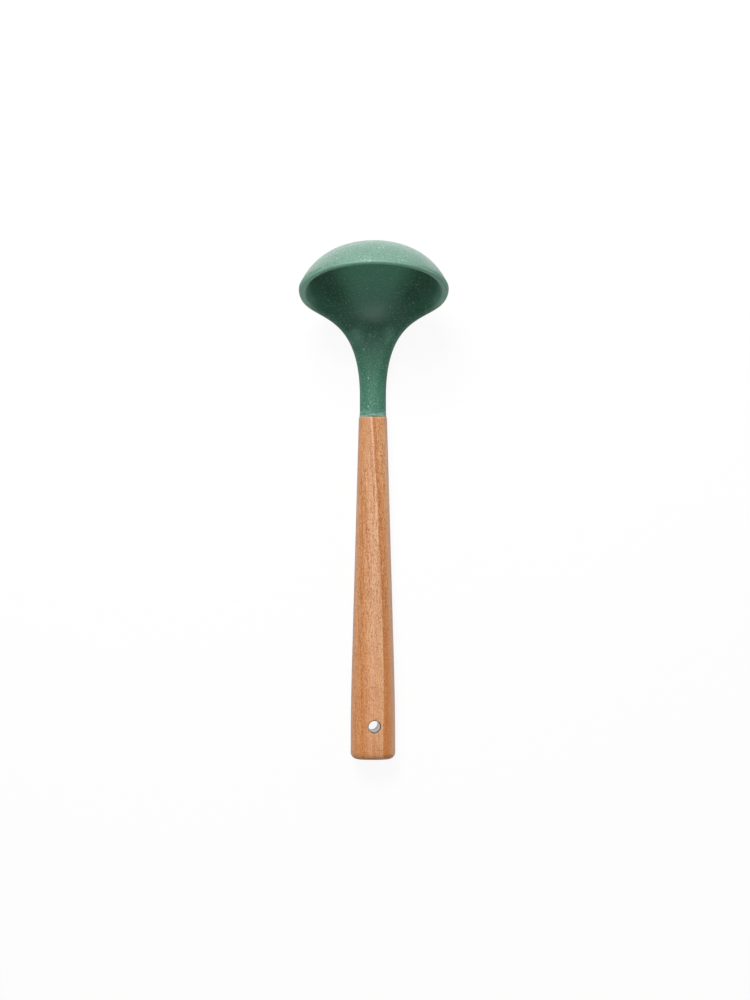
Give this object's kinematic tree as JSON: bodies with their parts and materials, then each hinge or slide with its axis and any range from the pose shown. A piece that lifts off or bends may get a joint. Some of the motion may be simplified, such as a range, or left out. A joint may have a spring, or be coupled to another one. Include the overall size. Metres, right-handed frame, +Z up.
{
  "type": "gravy ladle",
  "caption": "Gravy ladle with a round silicone bowl and neck over a stiff core, and a tapered wood handle with a metal-lined hanging hole.",
  "frame": {"origin": "centre of the ladle's box on the surface that it lies on, at its lowest point, with the back of the handle on Z = 0", "axes": "+Y along the handle towards the bowl, +Z up out of the handle's front, +X to the right when the bowl's mouth faces the viewer"},
  "size_m": [0.087, 0.3034, 0.0875],
  "materials": {
    "silicone": "matte sage green",
    "core_nylon": "moulded, dark grey",
    "adhesive": "cured, amber",
    "oiled_wood": "oiled, satin",
    "sleeve_steel": "drawn tube, bright"
  },
  "bodies": {
    "root": {"silicone_head": "silicone", "head_core": "core_nylon", "tang_adhesive": "adhesive", "wood_handle": "oiled_wood", "hanging_sleeve": "sleeve_steel"}
  },
  "joints": []
}
